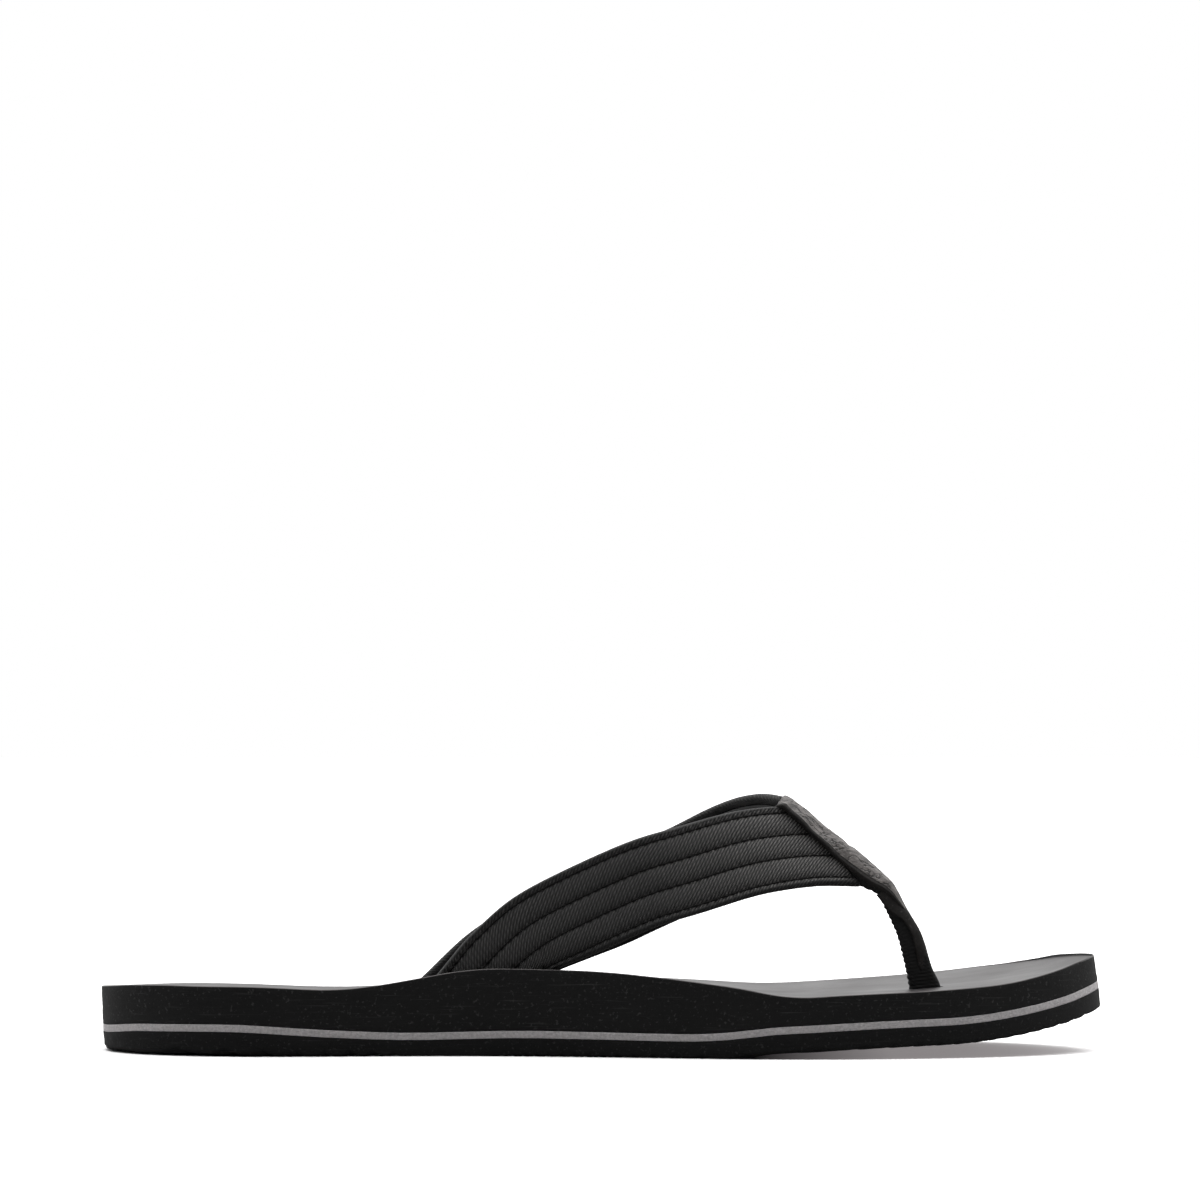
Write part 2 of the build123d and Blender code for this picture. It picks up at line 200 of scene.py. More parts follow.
class Nodes:
    """Short names for building one material's node tree."""

    def __init__(self, name):
        self.material = bpy.data.materials.new(name)
        self.material.use_nodes = True
        self.tree = self.material.node_tree
        self.shader = self.tree.nodes["Principled BSDF"]

    def link(self, a, b):
        self.tree.links.new(a, b)

    def new(self, kind, **settings):
        node = self.tree.nodes.new(kind)
        for key, value in settings.items():
            setattr(node, key, value)
        return node

    def coords(self, kind="Object"):
        return self.new("ShaderNodeTexCoord").outputs[kind]

    def math(self, operation, a, b=0.0, c=0.0):
        node = self.new("ShaderNodeMath", operation=operation)
        for socket, value in zip(node.inputs, (a, b, c)):
            if isinstance(value, (int, float)):
                socket.default_value = value
            else:
                self.link(value, socket)
        return node.outputs[0]

    def scaled(self, vector, scale):
        node = self.new("ShaderNodeVectorMath", operation="MULTIPLY")
        self.link(vector, node.inputs[0])
        node.inputs[1].default_value = scale
        return node.outputs[0]

    def noise(self, vector, scale, detail=3.0, roughness=0.55):
        node = self.new("ShaderNodeTexNoise")
        self.link(vector, node.inputs["Vector"])
        node.inputs["Scale"].default_value = scale
        node.inputs["Detail"].default_value = detail
        node.inputs["Roughness"].default_value = roughness
        return node.outputs["Fac"]

    def cells(self, vector, scale):
        node = self.new("ShaderNodeTexVoronoi")
        self.link(vector, node.inputs["Vector"])
        node.inputs["Scale"].default_value = scale
        return node.outputs["Distance"]

    def ramp(self, value, stops):
        """Maps a value through (position, colour or grey) stops."""
        node = self.new("ShaderNodeValToRGB")
        self.link(value, node.inputs[0])
        elements = node.color_ramp.elements
        while len(elements) < len(stops):
            elements.new(0.5)
        for element, (position, colour) in zip(elements, stops):
            element.position = position
            rgb = (colour,) * 3 if isinstance(colour, (int, float)) else colour
            element.color = (*rgb, 1)
        return node.outputs[0]

    def mix(self, factor, a, b):
        node = self.new("ShaderNodeMix", data_type="RGBA")
        for socket, value in ((node.inputs[0], factor), (node.inputs[6], a), (node.inputs[7], b)):
            if isinstance(value, (int, float)):
                socket.default_value = value
            elif isinstance(value, tuple):
                socket.default_value = (*value, 1)
            else:
                self.link(value, socket)
        return node.outputs[2]

    def bump(self, height, distance, strength=1.0, below=None):
        node = self.new("ShaderNodeBump")
        node.inputs["Strength"].default_value = strength
        node.inputs["Distance"].default_value = distance
        self.link(height, node.inputs["Height"])
        if below is not None:
            self.link(below, node.inputs["Normal"])
        return node.outputs[0]

    def finish(self, colour, roughness, normal=None, **extra):
        for name, value in (("Base Color", colour), ("Roughness", roughness), ("Normal", normal)):
            if value is None:
                continue
            if isinstance(value, (int, float)):
                self.shader.inputs[name].default_value = value
            elif isinstance(value, tuple):
                self.shader.inputs[name].default_value = (*value, 1)
            else:
                self.link(value, self.shader.inputs[name])
        for name, value in extra.items():
            self.shader.inputs[name.replace("_", " ")].default_value = value
        return self.material


def foam_rubber(name, dark, light, pores, scratch):
    """Moulded foam: fine open pores, pale specks, and faint scratches along the sole."""
    n = Nodes(name)
    place = n.coords()
    pore = n.cells(place, 2600)
    speck = n.ramp(n.noise(place, 1100, 2.0), [(0.61, 0.0), (0.70, 1.0)])
    lines = n.noise(n.scaled(place, (70, 70, 2200)), 1.0, 3.0)
    line_mask = n.ramp(lines, [(0.62, 0.0), (0.72, 1.0)])
    cloud = n.noise(place, 70, 4.0)
    colour = n.mix(n.ramp(cloud, [(0.35, 0.0), (0.65, 1.0)]), dark, light)
    pale = tuple(min(1.0, 3.0 * c + 0.03) for c in light)
    colour = n.mix(n.math("MULTIPLY", speck, pores), colour, pale)
    colour = n.mix(n.math("MULTIPLY", line_mask, scratch), colour, pale)
    height = n.math("ADD", n.math("MULTIPLY", pore, 0.6), n.noise(place, 900, 3.0))
    normal = n.bump(height, 0.00012, 0.7)
    rough = n.ramp(cloud, [(0.3, 0.68), (0.7, 0.82)])
    return n.finish(colour, rough, normal, Specular_IOR_Level=0.2)


def stripe_foam():
    """Pale middle layer, a cut edge with coarse grain."""
    n = Nodes("stripe_foam")
    place = n.coords()
    grain = n.noise(place, 1300, 4.0, 0.7)
    cloud = n.noise(place, 60, 3.0)
    colour = n.mix(n.ramp(grain, [(0.3, 0.0), (0.7, 1.0)]), (0.29, 0.277, 0.28), (0.55, 0.527, 0.532))
    colour = n.mix(n.math("MULTIPLY", cloud, 0.35), colour, (0.44, 0.42, 0.425))
    normal = n.bump(n.math("ADD", grain, n.cells(place, 1700)), 0.00015, 0.8)
    return n.finish(colour, 0.8, normal, Specular_IOR_Level=0.3)


def footbed_skin():
    """Dark foot-side skin: fine pebbled foam, faint lengthwise streaks, a soft haze at low angles."""
    n = Nodes("footbed_skin")
    place = n.coords()
    streak = n.noise(n.scaled(place, (60, 700, 700)), 1.0, 4.0, 0.6)
    cloud = n.noise(place, 45, 3.0)
    pebble = n.cells(place, 1300)
    fine = n.noise(place, 2400, 2.0)
    tone = n.math("ADD", n.math("MULTIPLY", streak, 0.45), n.math("MULTIPLY", fine, 0.55))
    colour = n.mix(n.ramp(tone, [(0.35, 0.0), (0.65, 1.0)]), (0.011, 0.010, 0.0105), (0.026, 0.024, 0.0245))
    height = n.math("ADD", n.math("MULTIPLY", streak, 0.25), n.math("MULTIPLY", pebble, 0.7))
    normal = n.bump(height, 0.00007, 0.5)
    rough = n.ramp(cloud, [(0.3, 0.36), (0.7, 0.46)])
    return n.finish(colour, rough, normal, Specular_IOR_Level=0.38, Specular_Tint=(1.0, 0.93, 0.93, 1.0))


def woven(name, dark, light, painted_highlight, pitch, relief, sheen):
    """Twill cloth: UV metres, threads of the given pitch crossing with a diagonal step, the raised threads painted
    paler along the band towards the point of the V as a painted highlight.
    """
    n = Nodes(name)
    uv = n.new("ShaderNodeSeparateXYZ")
    n.link(n.coords("UV"), uv.inputs[0])
    along, across = uv.outputs[0], uv.outputs[1]
    wobble = n.math("MULTIPLY", n.noise(n.coords(), 260, 2.0), 1.1)
    k = 2 * math.pi / (pitch * math.sqrt(2))
    rib_phase = n.math("ADD", n.math("MULTIPLY", n.math("SUBTRACT", along, across), k), wobble)
    dash_phase = n.math("ADD", n.math("MULTIPLY", n.math("ADD", along, across), 0.35 * k),
                        n.math("MULTIPLY", rib_phase, 0.5))
    ribs = n.math("MULTIPLY_ADD", n.math("SINE", rib_phase), 0.5, 0.5)
    dashes = n.math("MULTIPLY_ADD", n.math("SINE", dash_phase), 0.28, 0.72)
    weave = n.math("MULTIPLY", ribs, dashes)
    fibre = n.noise(n.coords(), 5200, 3.0, 0.7)
    cloud = n.noise(n.coords(), 90, 3.0)
    hem = n.ramp(n.math("MULTIPLY", n.math("ABSOLUTE", across), 40.0), [(0.46, 0.0), (0.485, 1.0)])
    weave = n.math("MULTIPLY", weave, n.math("MULTIPLY_ADD", hem, -0.65, 1.0))
    height = n.math("ADD", weave, n.math("MULTIPLY", fibre, 0.35))
    # painted highlight: the raised threads turn paler between about 7.6 and 11.6 cm along the band
    highlight_position = n.math("MULTIPLY_ADD", n.math("SUBTRACT", cloud, 0.5), 0.02, along)
    raised = n.mix(n.ramp(n.math("MULTIPLY", highlight_position, 5.0), [(0.38, 0.0), (0.58, 1.0)]), light, painted_highlight)
    colour = n.mix(n.ramp(height, [(0.3, 0.0), (0.9, 1.0)]), dark, raised)
    normal = n.bump(height, relief, 1.0)
    return n.finish(colour, 0.72, normal, Sheen_Weight=sheen, Sheen_Roughness=0.5, Specular_IOR_Level=0.35)


def lining_cloth():
    """Smooth close lining against the foot, with a fine knit."""
    n = Nodes("lining_cloth")
    uv = n.new("ShaderNodeSeparateXYZ")
    n.link(n.coords("UV"), uv.inputs[0])
    k = 2 * math.pi / (0.45 * MM)
    knit = n.math("MULTIPLY", n.math("SINE", n.math("MULTIPLY", uv.outputs[0], k)),
                  n.math("SINE", n.math("MULTIPLY", uv.outputs[1], k)))
    fibre = n.noise(n.coords(), 4000, 3.0)
    height = n.math("ADD", n.math("MULTIPLY", knit, 0.5), fibre)
    colour = n.mix(n.ramp(height, [(0.2, 0.0), (1.2, 1.0)]), (0.010, 0.010, 0.010), (0.032, 0.031, 0.031))
    return n.finish(colour, 0.7, n.bump(height, 0.0001, 0.6), Sheen_Weight=0.08, Specular_IOR_Level=0.35)


def wrinkled_leather():
    """Grey-brown synthetic leather with pebble grain, creases, worn high spots, and painted shade darkening the
    fold lines.
    """
    n = Nodes("wrinkled_leather")
    place = n.coords()
    crease = n.noise(n.scaled(place, (420, 900, 420)), 1.0, 5.0, 0.65)
    pebble = n.cells(place, 1100)
    fold = n.noise(n.scaled(place, (150, 420, 150)), 1.0, 3.0, 0.6)
    fold_groove_and_shade = n.ramp(n.math("ABSOLUTE", n.math("SUBTRACT", fold, 0.5)), [(0.0, 1.0), (0.03, 0.0)])
    rub = n.noise(place, 160, 4.0)
    colour = n.mix(n.ramp(crease, [(0.35, 0.0), (0.62, 1.0)]), (0.058, 0.053, 0.051), (0.165, 0.152, 0.146))
    colour = n.mix(n.ramp(rub, [(0.5, 0.0), (0.75, 0.5)]), colour, (0.22, 0.203, 0.194))
    # painted shade: the fold lines are darkened almost to black
    colour = n.mix(n.math("MULTIPLY", fold_groove_and_shade, 0.8), colour, (0.012, 0.011, 0.011))
    height = n.math("ADD", crease, n.math("MULTIPLY", pebble, 0.5))
    height = n.math("SUBTRACT", height, n.math("MULTIPLY", fold_groove_and_shade, 1.2))
    normal = n.bump(height, 0.0003, 0.8)
    rough = n.ramp(rub, [(0.3, 0.5), (0.7, 0.66)])
    return n.finish(colour, rough, normal, Specular_IOR_Level=0.4)


def sewing_thread():
    """Black thread with a fine ply."""
    n = Nodes("sewing_thread")
    ply = n.noise(n.scaled(n.coords(), (3000, 3000, 3000)), 1.0, 2.0)
    colour = n.mix(ply, (0.002, 0.002, 0.002), (0.008, 0.0075, 0.0075))
    return n.finish(colour, 0.75, n.bump(ply, 0.00008, 0.7), Specular_IOR_Level=0.15)


PAINTED_TOE_GLOW = 0.24          # painted glow on the paper under the raised toe, seen only by the camera


def studio_floor():
    """White paper sweep; it lights the object from below less than it shows to the camera. Under the raised toe the
    paper glows for the camera alone, painted light that lightens the shadow there.
    """
    n = Nodes("studio_floor")
    seen = n.new("ShaderNodeLightPath").outputs["Is Camera Ray"]
    tone = n.mix(seen, (0.30, 0.30, 0.30), (0.90, 0.90, 0.90))
    place = n.new("ShaderNodeSeparateXYZ")
    n.link(n.coords(), place.inputs[0])
    painted_toe_glow = n.ramp(n.math("MULTIPLY_ADD", place.outputs[0], 5.0, 0.5), [(0.72, 0.0), (0.92, PAINTED_TOE_GLOW)])
    # painted light: emission on the paper under the toe, for camera rays only
    n.link(n.math("MULTIPLY", seen, painted_toe_glow), n.shader.inputs["Emission Strength"])
    return n.finish(tone, 0.95, None, Specular_IOR_Level=0.0, Emission_Color=(1.0, 0.93, 0.94, 1.0))


# ---------------------------------------------------------------- the sole

HEEL_HUB, TOE_HUB = 38, 250
SIDE_STEPS = 330
FAN_STEPS = 110


def tree_of(*names):
    """Search tree over CAD nodes."""
    verts, faces = [], []
    for name in names:
        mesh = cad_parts[name].data
        base = len(verts)
        verts += [v.co.copy() for v in mesh.vertices]
        faces += [[base + i for i in p.vertices] for p in mesh.polygons]
    return BVHTree.FromPolygons(verts, faces)


def middle(x):
    """y of the sole's middle line at a station."""
    return -7 * smooth((np.asarray(x, float) - 230) / 40)


def sole_outline():
    """Edge of the sole seen from above and the hub each edge point faces, both in mm."""
    tree = tree_of("outsole_rear", "outsole_front", "grey_layer_rear", "grey_layer_front",
                   "footbed_rear", "footbed_front")
    stations = np.linspace(HEEL_HUB, TOE_HUB, SIDE_STEPS)
    fan = np.linspace(90, -90, FAN_STEPS + 2)[1:-1]
    rays = [(x, 90) for x in stations] + [(TOE_HUB, a) for a in fan]
    rays += [(x, -90) for x in stations[::-1]] + [(HEEL_HUB, a - 180) for a in fan]
    edge, hubs = [], []
    for x, angle in rays:
        hub = Vector((at(x), float(middle(x)) * MM, (10 + 6 * float(smooth((x - 200) / 50))) * MM))
        out = Vector((math.cos(math.radians(angle)), math.sin(math.radians(angle)), 0))
        hit = tree.ray_cast(hub + out * 0.2, -out)[0]
        edge.append(((hit.x - HEEL) / MM, hit.y / MM))
        hubs.append((x, hub.y / MM))
    edge = np.array(edge)
    for _ in range(3):
        edge = 0.25 * np.roll(edge, 1, 0) + 0.5 * edge + 0.25 * np.roll(edge, -1, 0)
    return edge, np.array(hubs)


def foot_surface():
    """Heights of the foot side on a grid, holes filled and carried on past the edge."""
    tree = tree_of("footbed_rear", "footbed_front")
    xs, ys = np.arange(-5, TOE_LENGTH + 6, 2.0), np.arange(-56, 57, 2.0)
    grid = np.full((len(xs), len(ys)), np.nan)
    for i, x in enumerate(xs):
        for j, y in enumerate(ys):
            hit = tree.ray_cast(Vector((at(x), y * MM, 0.1)), Vector((0, 0, -1)))[0]
            if hit is not None and hit.z > 0.0125:
                grid[i, j] = hit.z / MM
    for row in grid:
        known = np.flatnonzero(~np.isnan(row))
        if len(known) < 6:
            continue
        inner = known[1:-1]
        row[:] = np.interp(ys, ys[inner], row[inner])
        for side, a, b in ((slice(0, inner[0]), inner[0], inner[2]),
                           (slice(inner[-1] + 1, None), inner[-1], inner[-3])):
            row[side] = row[a] + (ys[side] - ys[a]) * (row[b] - row[a]) / (ys[b] - ys[a])
    full = np.flatnonzero(~np.isnan(grid).any(axis=1))
    first, last = full[0] + 1, full[-1] - 1
    for i in range(first):
        grid[i] = grid[first] + (xs[i] - xs[first]) * (grid[first + 2] - grid[first]) / 4
    for i in range(last + 1, len(xs)):
        grid[i] = grid[last] + (xs[i] - xs[last]) * (grid[last] - grid[last - 2]) / 4
    for axis in (0, 1):
        for _ in range(2):
            padded = np.pad(grid, [(1, 1) if k == axis else (0, 0) for k in (0, 1)], mode="reflect",
                            reflect_type="odd")
            low, high = np.take(padded, range(grid.shape[axis]), axis), \
                np.take(padded, range(2, grid.shape[axis] + 2), axis)
            grid = 0.25 * low + 0.5 * grid + 0.25 * high
    return xs, ys, grid


def joint_line():
    """Height of the pale layer's underside along the sole, against its nominal height."""
    tree = tree_of("grey_layer_rear", "grey_layer_front")
    xs, zs = np.arange(2, TOE_LENGTH - 1, 1.0), []
    for x in xs:
        hit = tree.ray_cast(Vector((at(x), (float(middle(x)) + 4 * (x < 230)) * MM, -0.1)), Vector((0, 0, 1)))[0]
        zs.append(hit.z / MM - OUTSOLE if hit is not None else np.nan)
    zs = np.array(zs)
    known = ~np.isnan(zs)
    zs = np.interp(xs, xs[known], zs[known])
    slope = zs[-1] - zs[-4]
    xs, zs = np.append(xs, xs[-1] + 6), np.append(zs, zs[-1] + 2 * slope)
    return xs, zs


EDGE, HUBS = sole_outline()
TANGENT = unit(np.roll(EDGE, -1, 0) - np.roll(EDGE, 1, 0))
OUTWARD = np.column_stack([-TANGENT[:, 1], TANGENT[:, 0]])
TOP_X, TOP_Y, TOP_Z = foot_surface()
JOINT_X, JOINT_Z = joint_line()


def cubic(values, t):
    a, b, c, d = values
    return b + 0.5 * t * (c - a + t * (2 * a - 5 * b + 4 * c - d + t * (3 * (b - c) + d - a)))


def top_height(x, y):
    """Foot side of the sole, mm."""
    gx = np.clip((x - TOP_X[0]) / 2.0, 1, len(TOP_X) - 3)
    gy = np.clip((y - TOP_Y[0]) / 2.0, 1, len(TOP_Y) - 3)
    i, j = gx.astype(int), gy.astype(int)
    rows = [cubic([TOP_Z[i + a, j + b] for b in (-1, 0, 1, 2)], gy - j) for a in (-1, 0, 1, 2)]
    return cubic(rows, gx - i)


def roll(x, y):
    """Extra height of the underside at the heel, which tips up towards the inner side."""
    return HEEL_ROLL * (-y / 35) * (1 - smooth((x - 38) / 32))


def base_height(x, y):
    """Underside of the sole without its tread, mm: lifted heel, flat middle, toe spring."""
    heel = HEEL_LIFT * smooth((x + 4) / 12) * (1 - smooth((x - 30) / 22))
    toe = np.maximum(np.interp(x, JOINT_X, JOINT_Z), 0) * (x > 150)
    return np.maximum(heel + toe + roll(x, y), 0)


def edge_y(x, side):
    """y of the sole's edge at a station, on the side given by its sign."""
    half = EDGE[EDGE[:, 1] * side > 0]
    half = half[np.argsort(half[:, 0])]
    return np.interp(x, half[:, 0], half[:, 1])


def waist_distance(x, y):
    """Distance outside the smooth waist patch, negative inside it."""
    centre, length, width = WAIST_PATCH
    corner = 6
    dx = np.abs(x - centre) - length / 2 + corner
    dy = np.abs(y) - width / 2 + corner
    return np.hypot(np.maximum(dx, 0), np.maximum(dy, 0)) + np.minimum(np.maximum(dx, dy), 0) - corner


def tread(x, y):
    """Height of the tread above the lowest level: rounded ribs in rings, a smooth patch at the waist."""
    total = np.zeros_like(x)
    covered = np.zeros_like(x)
    for hub, pitch, count in (HEEL_RINGS, BALL_RINGS):
        r = np.hypot(x - hub, y)
        inside = smooth(((count - 0.5) * pitch + 1 - r) / 2) * (1 - covered)
        total += RIB_DEPTH * pitch * inside * (1 - np.abs(np.cos(math.pi * r / pitch))) ** 1.3
        covered = np.maximum(covered, inside)
    away = waist_distance(x, y)
    total *= smooth((away - 0.8) / 1.4)
    return total + FRAME_DEPTH * np.exp(-((away - 0.4) / 0.6) ** 2)


def interface(x, y, rise):
    """Wavy joint between two layers, a given height above the pale layer's underside."""
    return OUTSOLE + np.interp(x, JOINT_X, JOINT_Z) + roll(x, y) + rise


def wall_point(index_height):
    """Edge points shifted for their height above the pale layer's underside, in mm."""
    h = index_height
    inset = np.where(h > 0, WALL_LEAN * (13 - h) / 13, WALL_LEAN - 0.09 * h)
    slope = (np.interp(EDGE[:, 0] + 1, JOINT_X, JOINT_Z) - np.interp(EDGE[:, 0] - 1, JOINT_X, JOINT_Z)) / 2
    ripple = 0.05 * value_noise(np.arange(len(EDGE)) * 0.9, h * 2.2, 3.0)
    point = EDGE - OUTWARD * (inset + ripple)[:, None]
    point[:, 0] -= TOE_LEAN * np.maximum(slope, 0) * h * smooth((EDGE[:, 0] - 240) / 25)
    return point


def sole_layer(name, low, high, bevels, rows, material):
    """Closed mesh of one layer between two height fields, with rounded lower and upper edges."""
    low_bevel, high_bevel = bevels
    low_rows, wall_rows, high_rows = rows
    e = EDGE
    floor_z, roof_z = low(e[:, 0], e[:, 1]), high(e[:, 0], e[:, 1])
    level = interface(e[:, 0], e[:, 1], 0)
    rings = []

    def edge_ring(z, inset):
        point = wall_point(z - level) - OUTWARD * inset
        rings.append(np.column_stack([point, z]))

    def cap(field, bevel, z_edge, fractions):
        start = wall_point(z_edge - level) - OUTWARD * bevel
        for t in fractions:
            p = start + (HUBS - start) * t
            rings.append(np.column_stack([p, field(p[:, 0], p[:, 1])]))

    low_t = np.linspace(0, 1, low_rows + 1)
    cap(low, low_bevel, floor_z + low_bevel, low_t[::-1])
    for a in np.linspace(0, 90, 5)[1:]:
        s, c = math.sin(math.radians(a)), math.cos(math.radians(a))
        edge_ring(floor_z + low_bevel * (1 - c), low_bevel * (1 - s))
    for t in np.linspace(0, 1, wall_rows + 2)[1:-1]:
        edge_ring((floor_z + low_bevel) * (1 - t) + (roof_z - high_bevel) * t, 0)
    for a in np.linspace(90, 0, 5)[:-1]:
        s, c = math.sin(math.radians(a)), math.cos(math.radians(a))
        edge_ring(roof_z - high_bevel * (1 - c), high_bevel * (1 - s))
    cap(high, high_bevel, roof_z - high_bevel, np.insert(np.linspace(0, 1, high_rows + 1), 1, RIM_RING))
    points = np.vstack(rings)
    verts = np.column_stack([at(points[:, 0]), points[:, 1] * MM, points[:, 2] * MM])
    return make_object(name, verts, grid_faces(len(rings), len(EDGE), True), material)


def prism(outline, low, high):
    """Upright block over a closed outline, used to cut a slot, sizes in mm."""
    verts = [(at(x), y * MM, z * MM) for z in (low, high) for x, y in outline]
    return make_object("cutter", verts, close_tube(2, len(outline)), bpy.data.materials[0])


def rounded_outline(centre, size, corner):
    points = []
    for k in range(32):
        a = 2 * math.pi * (k + 0.5) / 32
        sx, sy = math.copysign(1, math.cos(a)), math.copysign(1, math.sin(a))
        points.append((centre[0] + sx * (size[0] / 2 - corner) + corner * math.cos(a),
                       centre[1] + sy * (size[1] / 2 - corner) + corner * math.sin(a)))
    return points


def cut(obj, cutters):
    """Takes the cutters away from obj and keeps the result as its mesh."""
    for cutter in cutters:
        modifier = obj.modifiers.new("cut", "BOOLEAN")
        modifier.object, modifier.solver = cutter, "EXACT"
    bpy.context.view_layer.update()
    result = bpy.data.meshes.new_from_object(obj.evaluated_get(bpy.context.evaluated_depsgraph_get()))
    obj.modifiers.clear()
    obj.data = result
    for cutter in cutters:
        bpy.data.objects.remove(cutter, do_unlink=True)


POST_SLOT = ((238.9, -18.0), (9.8, 5.4))


def build_sole(arms, materials):
    pale_high = STRIPE + 0.05
    outsole = sole_layer("outsole", lambda x, y: base_height(x, y) + tread(x, y),
                         lambda x, y: interface(x, y, -0.03), (0.7, 0.12), (90, 6, 6), materials["outsole"])
    stripe = sole_layer("pale_layer", lambda x, y: interface(x, y, 0.0),
                        lambda x, y: interface(x, y, STRIPE), (0.15, 0.15), (5, 4, 5), materials["stripe"])
    footbed = sole_layer("footbed", lambda x, y: interface(x, y, pale_high),
                         top_height, (0.12, 0.4), (6, 10, 34), materials["wall"])
    outlines = [arm.footprint() for arm in arms] + [rounded_outline(*POST_SLOT, 2.4)]
    cut(footbed, [prism(outline, pale_high + OUTSOLE + 1, 45) for outline in outlines])
    footbed.data.materials.append(materials["footbed"])
    for face in footbed.data.polygons:
        face.material_index = int(face.normal.z > 0.3)
    for obj, nodes, slot in ((outsole, ("outsole_rear", "outsole_front"), "outsole_black"),
                             (stripe, ("grey_layer_rear", "grey_layer_front"), "layer_grey"),
                             (footbed, ("footbed_rear", "footbed_front"), "footbed_black")):
        obj.data.polygons.foreach_set("use_smooth", [True] * len(obj.data.polygons))
        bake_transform(obj)
        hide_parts(*nodes)
    return outsole, stripe, footbed


# ---------------------------------------------------------------- the strap arms

ROOT_DEPTH = 5.0          # an arm runs this far down into its slot
LINE_STEPS = 700
ARM_STEPS = 260
RIDGE_GAP = 0.25
TUCK, TUCK_IN = 5.5, 2.0   # how far the lower edge of an arm is drawn back and inwards at its root
SLOT_OUT, SLOT_IN = 1.9, -1.9
SLOT_MARGIN = 1.7          # foam left between a slot and the wall


def ridge_y(x):
    return np.interp(x, [k[0] for k in RIDGE], [k[1] for k in RIDGE])


class Arm:
    """One arm of the V: its middle line with across and outward directions, all in mm."""

    def __init__(self, knots, side):
        first, second = np.array(knots[0], float), np.array(knots[1], float)
        knots = [tuple(first + 1.3 * (first - second))] + list(knots)
        line, self.length = spline(knots, LINE_STEPS)
        self.side = side
        self.centre = line[:, :3]
        self.s = np.linspace(0, self.length, LINE_STEPS)
        lean = np.radians(line[:, 3])
        along = unit(np.gradient(self.centre, axis=0))
        upright = np.column_stack([np.zeros(LINE_STEPS), -side * np.sin(lean), np.cos(lean)])
        self.across = unit(upright - along * np.sum(upright * along, 1)[:, None])
        self.outward = np.cross(along, self.across) * -side

    def row(self, across, outward):
        """Full-length line at an offset; the offsets may vary along it."""
        across = np.broadcast_to(across, self.s.shape)[:, None]
        outward = np.broadcast_to(outward, self.s.shape)[:, None]
        return self.tucked(self.centre + self.across * across + self.outward * outward, across[:, 0])

    def tucked(self, points, across):
        """The lower edge runs back and inwards a little where it dives into the slot."""
        points = points.copy()
        low = np.clip(-across / HALF, 0, 1) ** 1.5
        height = points[:, 2].copy()
        points[:, 0] -= TUCK * low * (1 - smooth((height - 18) / 13))
        points[:, 1] -= self.side * TUCK_IN * low * (1 - smooth((height - 22) / 14))
        return points

    def ends(self, across):
        """Where a row starts inside its slot and where it meets the other arm, as lengths."""
        line = self.row(across, 0)
        root = top_height(line[:, 0], line[:, 1]) - ROOT_DEPTH
        above = np.flatnonzero(line[:, 2] > root)
        start = self.s[above[0]]
        webbing = 1.3 * smooth((66 - line[:, 2]) / 12)
        beyond = self.side * (line[:, 1] - ridge_y(line[:, 0])) < RIDGE_GAP + 0.6 + webbing
        past = np.flatnonzero(beyond & (self.s > 0.5 * self.length))
        end = self.s[past[0]] if len(past) else self.length
        return start, end

    def footprint(self):
        """Outline of the slot this arm comes out of, where it crosses the foot side of the sole."""
        sides = []
        for outward in (SLOT_OUT, SLOT_IN):
            points = []
            for across in np.linspace(HALF + 0.5, -HALF - 0.3, 12):
                line = self.row(across, outward)
                x, y, z = line[line[:, 2] > top_height(line[:, 0], line[:, 1])][0]
                limit = abs(edge_y(x, self.side)) - SLOT_MARGIN
                points.append((x, self.side * min(abs(y), limit)))
            sides.append(points)
        return sides[0] + sides[1][::-1]

    def sample(self, s, across, outward):
        """Points at lengths s with offsets given per point."""
        base = [np.column_stack([np.interp(s, self.s, column) for column in field.T])
                for field in (self.centre, self.across, self.outward)]
        across, outward = np.asarray(across), np.asarray(outward)
        return self.tucked(base[0] + base[1] * across[:, None] + base[2] * outward[:, None], across)


def quilt(across, s, arm):
    """Height of the cloth over the middle surface at an offset across the band."""
    edges = np.array([-HALF, *ROWS, HALF])
    k = int(np.clip(np.searchsorted(edges, across) - 1, 0, 4))
    u = (across - edges[k]) / (edges[k + 1] - edges[k]) * 2 - 1
    t = s / arm.length
    full = 0.34 + 0.3 * smooth((t - 0.2) / 0.35)
    crest = 0.3 if k in (0, 4) else full
    lumps = 1 + 0.16 * value_noise(s + 31 * k, np.full_like(s, 5.0 * k + 50 * arm.side), 6.5)
    height = 1.1 + crest * lumps * (1 - abs(u) ** 2.3)
    nearest = min(abs(across - row) for row in ROWS)
    pull = 0.38 * math.exp(-(nearest / 0.8) ** 2)
    return height - pull * (0.5 + 0.5 * np.cos(2 * math.pi * s / STITCH))


def tube_from_rows(rows, uvs):
    """Stacks rows (each a line of points) into ring-major vertices and UVs, in metres."""
    points = np.stack(rows, 1)
    points = np.stack([at(points[..., 0]), points[..., 1] * MM, points[..., 2] * MM], -1)
    return points.reshape(-1, 3), np.stack(uvs, 1).reshape(-1, 2) * MM


def arm_profile():
    """Closed section of the outer cloth: kind of offset and position across, going round the band."""
    outer = [("quilt", w) for w in np.linspace(HEM - HALF, HALF - HEM, 62)]
    right = [("edge", 1, a) for a in np.linspace(78, -90, 9)]
    lap = HALF - 2.5
    inner = [("flat", lap, -1.26), ("flat", lap - 0.3, -0.85), ("flat", 0.3 - lap, -0.85), ("flat", -lap, -1.26)]
    left = [("edge", -1, a) for a in np.linspace(-90, 78, 9)]
    return outer + right + inner + left


